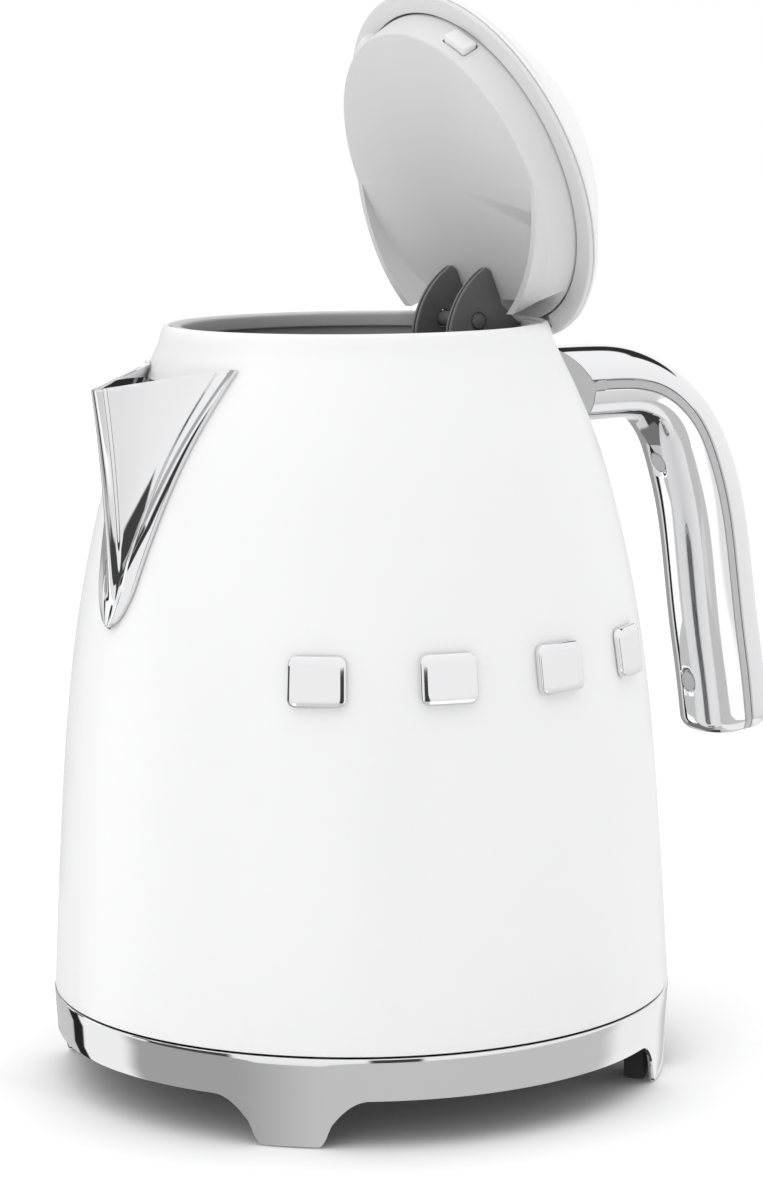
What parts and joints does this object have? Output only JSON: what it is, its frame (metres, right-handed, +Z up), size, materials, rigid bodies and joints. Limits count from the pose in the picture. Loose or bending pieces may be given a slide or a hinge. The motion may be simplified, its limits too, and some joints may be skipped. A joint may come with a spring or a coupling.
{
  "type": "electric kettle",
  "caption": "Retro cordless electric kettle: round-shouldered enamelled steel jug, V spout, cantilever chrome handle, hinged dome lid shown open, lift-off ring base on feet.",
  "frame": {"origin": "centre of the whole object's plan box, on the plane that the feet stand on; the jug's axis is 27 mm from it toward the spout", "axes": "+Z up, -X toward the spout, +X toward the handle, -Y toward the side with the four blank badges"},
  "size_m": [0.225, 0.171, 0.2958],
  "materials": {
    "white_paint": "satin, finely textured powder coat",
    "chrome": "polished",
    "stainless_steel": "brushed",
    "grey_plastic": "satin moulded",
    "light_grey_plastic": "satin moulded",
    "dark_grey_plastic": "satin moulded",
    "white_plastic": "semi-gloss",
    "black_plastic": "fine texture",
    "rubber": "matt",
    "clear_plastic": "clear, polished",
    "aluminium": "as cast",
    "brass": "bright"
  },
  "bodies": {
    "base": {"base_ring": "chrome", "foot_pad_1": "rubber", "foot_pad_2": "rubber", "foot_pad_3": "rubber", "foot_pad_4": "rubber", "base_deck": "black_plastic", "base_underside": "black_plastic", "base_screw_1": "stainless_steel", "base_screw_2": "stainless_steel", "base_screw_3": "stainless_steel", "cord_gland": "rubber", "base_connector": "black_plastic", "connector_pin": "brass", "contact_ring_inner": "brass", "contact_ring_outer": "brass"},
    "socket": {"connector_socket": "black_plastic"},
    "jug": {"body_shell": "white_paint", "spout": "chrome", "neck_collar": "grey_plastic", "hinge_bracket": "dark_grey_plastic", "hinge_pin": "stainless_steel", "lid_spring": "stainless_steel", "vessel_floor": "stainless_steel", "floor_seal": "rubber", "heater_plate": "aluminium", "heater_element": "stainless_steel", "control_unit": "black_plastic", "bimetal_disc": "brass", "steam_tube": "white_plastic", "jug_bottom_cover": "black_plastic", "cover_screw_1": "stainless_steel", "cover_screw_2": "stainless_steel", "cover_screw_3": "stainless_steel", "gauge_gasket": "rubber", "gauge_window": "clear_plastic", "switch_bezel": "grey_plastic", "handle_core": "grey_plastic", "handle_outer_shell": "chrome", "handle_inner_shell": "chrome", "handle_cap_upper": "white_plastic", "handle_cap_lower": "white_plastic", "handle_screw_upper": "stainless_steel", "handle_screw_lower": "stainless_steel", "badge_1": "chrome", "badge_2": "chrome", "badge_3": "chrome", "badge_4": "chrome"},
    "lid": {"lid_dome": "white_paint", "lid_trim_ring": "light_grey_plastic", "lid_liner": "light_grey_plastic", "lid_arm_left": "dark_grey_plastic", "lid_arm_right": "dark_grey_plastic", "arm_cross_pin": "dark_grey_plastic", "button_spring": "stainless_steel"},
    "button": {"lid_button": "chrome"},
    "left_catch": {"catch_left": "white_plastic"},
    "right_catch": {"catch_right": "white_plastic"},
    "lever": {"switch_lever": "chrome"},
    "filter": {"spout_filter": "stainless_steel"}
  },
  "joints": [
    {"name": "jug_lift", "type": "slide", "parent": "base", "child": "socket", "axis": [0, 0, 1], "range_m": [0, 0.08]},
    {"name": "jug_swivel", "type": "hinge", "parent": "socket", "child": "jug", "pos_m": [-0.027, 0, 0.03], "axis": [0, 0, 1], "continuous": true},
    {"name": "lid_hinge", "type": "hinge", "parent": "jug", "child": "lid", "pos_m": [0.021, 0, 0.1999], "axis": [0, 1, 0], "range_deg": [-67.9, 0], "stiffness_Nm_per_rad": 0.05, "springref_deg": 29.79},
    {"name": "button_press", "type": "slide", "parent": "lid", "child": "button", "axis": [-0.9265, 0, -0.3762], "range_m": [0, 0.0025], "stiffness_N_per_m": 400, "springref_m": -0.0015},
    {"name": "catch_left_slide", "type": "slide", "parent": "lid", "child": "left_catch", "axis": [0.3208, 0.5225, -0.79], "range_m": [0, 0.0025]},
    {"name": "catch_right_slide", "type": "slide", "parent": "lid", "child": "right_catch", "axis": [0.3208, -0.5225, -0.79], "range_m": [0, 0.0025]},
    {"name": "lever_tilt", "type": "hinge", "parent": "jug", "child": "lever", "pos_m": [0.0525, 0, 0.038], "axis": [0, 1, 0], "range_deg": [0, 12]},
    {"name": "filter_slide", "type": "slide", "parent": "jug", "child": "filter", "axis": [1, 0, 0], "range_m": [0, 0.02]}
  ],
  "couplings": [
    {"joint": "catch_left_slide", "follows": "button_press", "ratio": 1},
    {"joint": "catch_right_slide", "follows": "button_press", "ratio": 1}
  ]
}
